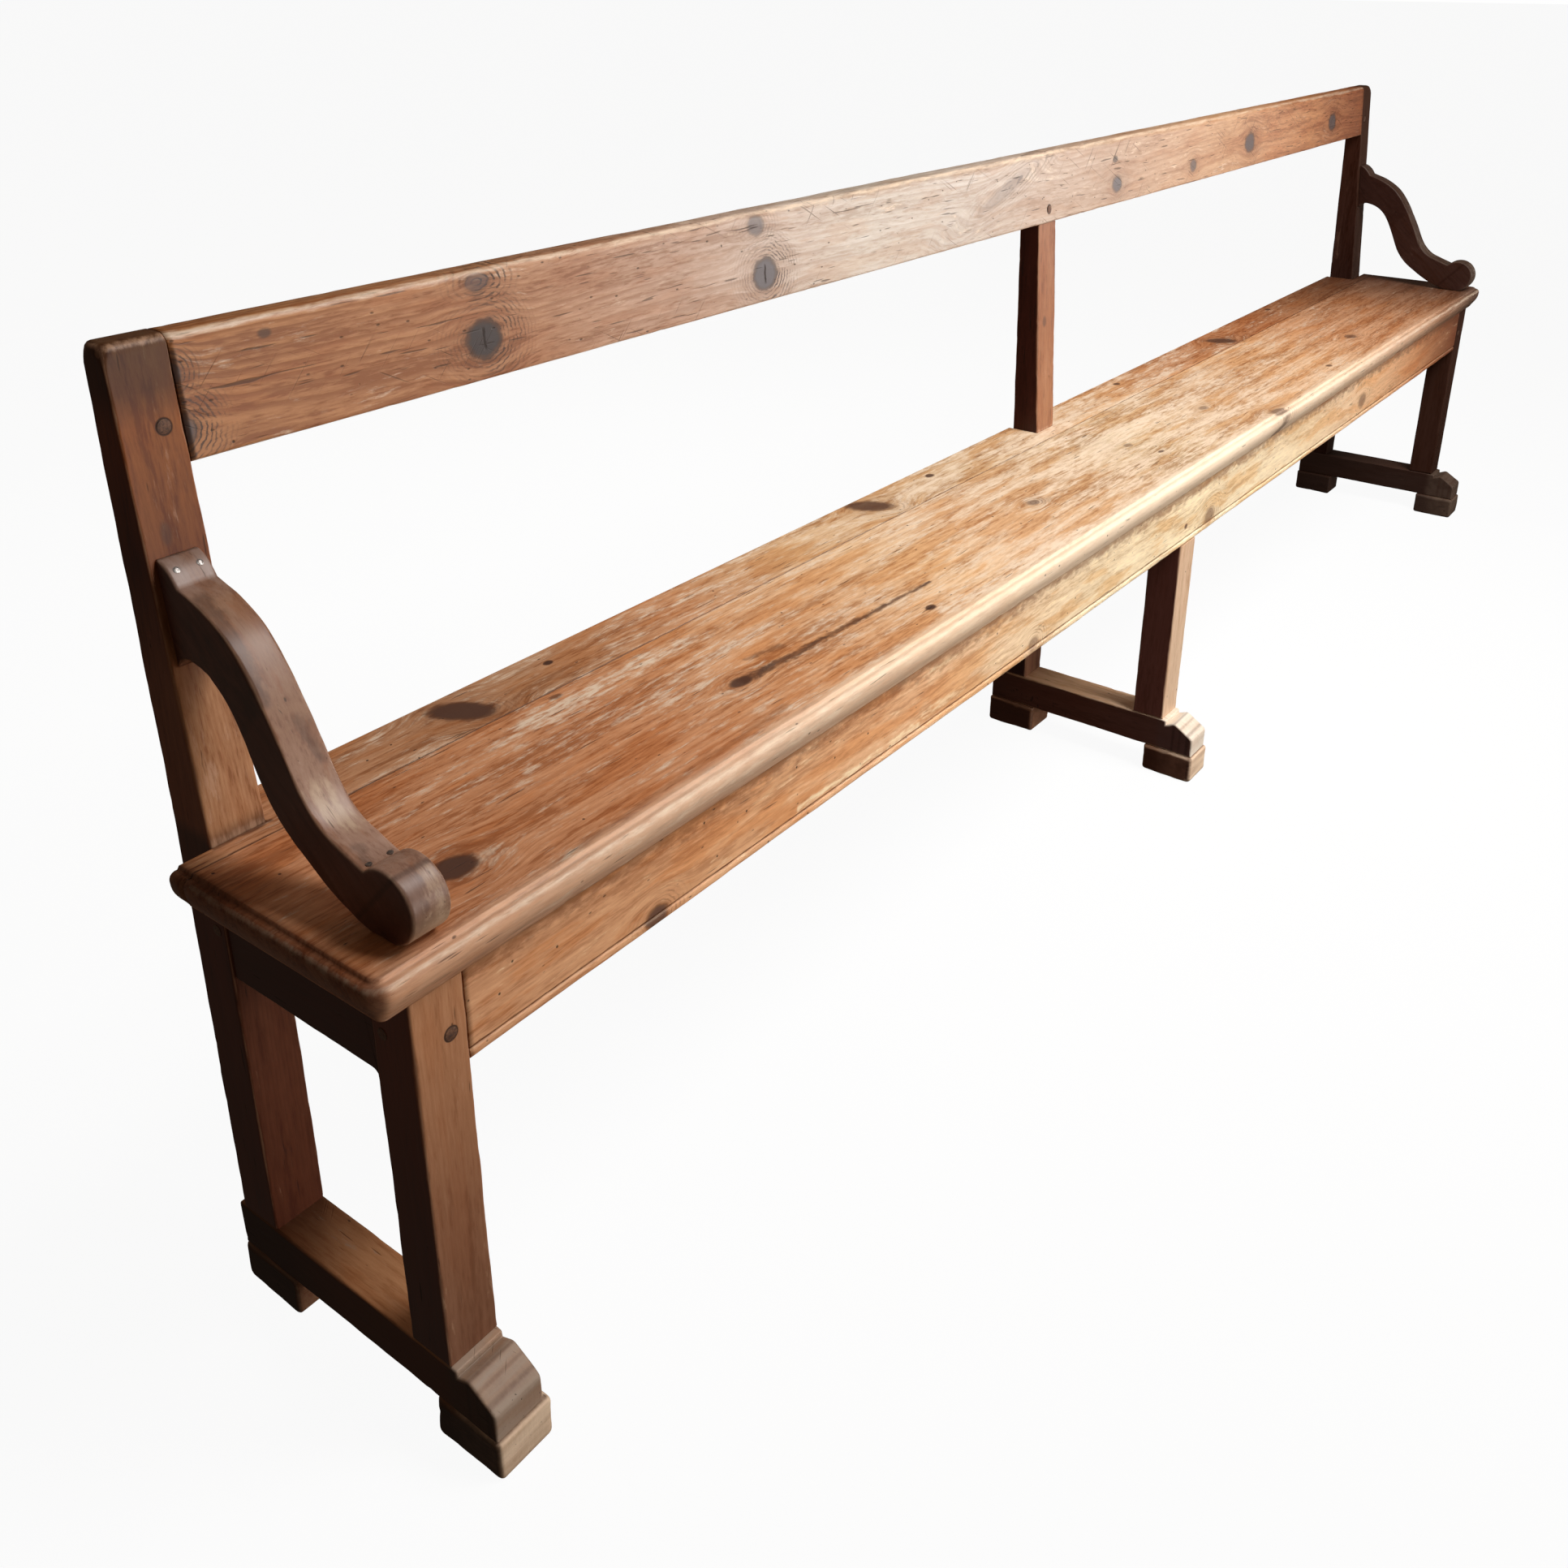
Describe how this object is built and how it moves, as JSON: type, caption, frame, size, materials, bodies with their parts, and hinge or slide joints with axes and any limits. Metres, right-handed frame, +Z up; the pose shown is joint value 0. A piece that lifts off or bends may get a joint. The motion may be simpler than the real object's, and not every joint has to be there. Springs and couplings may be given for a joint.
{
  "type": "monks bench",
  "caption": "Long narrow pine bench on three sledge-footed frames, with a moulded plank seat, an open back under one top rail and serpentine scroll arms at both ends.",
  "frame": {"origin": "On the floor, under the middle of the bench's overall box. The box runs from the front of the foot pads' toes to the rear of the posts' tops, and over the moulded ends of the seat.", "axes": "+X along the bench to the right of someone who faces its front, +Y from the sitter's knees towards the back rail, +Z up."},
  "size_m": [2.7508, 0.3238, 0.8345],
  "materials": {
    "honey_pine": "old waxed pine, honey brown, strong lengthwise grain, worn pale on the edges",
    "rail_pine": "old waxed pine, mid brown, with dark ringed knots",
    "umber_pine": "old waxed pine, dark walnut brown, satin on the handled edges",
    "foot_pine": "old pine, dark brown, dry and scuffed grey on the toes",
    "peg_wood": "end grain of whittled hardwood pegs, dark brown",
    "nail_steel": "old iron nails, heads rubbed bright"
  },
  "bodies": {
    "root": {"left_back_post": "umber_pine", "left_front_leg": "umber_pine", "left_foot_rail": "foot_pine", "left_front_foot_pad": "foot_pine", "left_rear_foot_pad": "foot_pine", "left_seat_bearer": "umber_pine", "middle_back_post": "umber_pine", "middle_front_leg": "umber_pine", "middle_foot_rail": "foot_pine", "middle_front_foot_pad": "foot_pine", "middle_rear_foot_pad": "foot_pine", "middle_seat_bearer": "umber_pine", "right_back_post": "umber_pine", "right_front_leg": "umber_pine", "right_foot_rail": "foot_pine", "right_front_foot_pad": "foot_pine", "right_rear_foot_pad": "foot_pine", "right_seat_bearer": "umber_pine", "left_armrest": "umber_pine", "right_armrest": "umber_pine", "seat_front_board": "honey_pine", "seat_rear_board": "honey_pine", "front_apron": "honey_pine", "rear_apron": "rail_pine", "back_top_rail": "rail_pine", "left_top_rail_peg": "peg_wood", "left_front_apron_peg": "peg_wood", "left_rear_apron_peg": "peg_wood", "left_front_bearer_peg": "peg_wood", "left_rear_bearer_peg": "peg_wood", "right_top_rail_peg": "peg_wood", "right_front_apron_peg": "peg_wood", "right_rear_apron_peg": "peg_wood", "right_front_bearer_peg": "peg_wood", "right_rear_bearer_peg": "peg_wood", "middle_top_rail_peg": "peg_wood", "left_arm_shoulder_nail_outer": "nail_steel", "left_arm_shoulder_nail_inner": "nail_steel", "left_arm_foot_nail_outer": "nail_steel", "left_arm_foot_nail_inner": "nail_steel", "right_arm_shoulder_nail_outer": "nail_steel", "right_arm_shoulder_nail_inner": "nail_steel", "right_arm_foot_nail_outer": "nail_steel", "right_arm_foot_nail_inner": "nail_steel"}
  },
  "joints": []
}
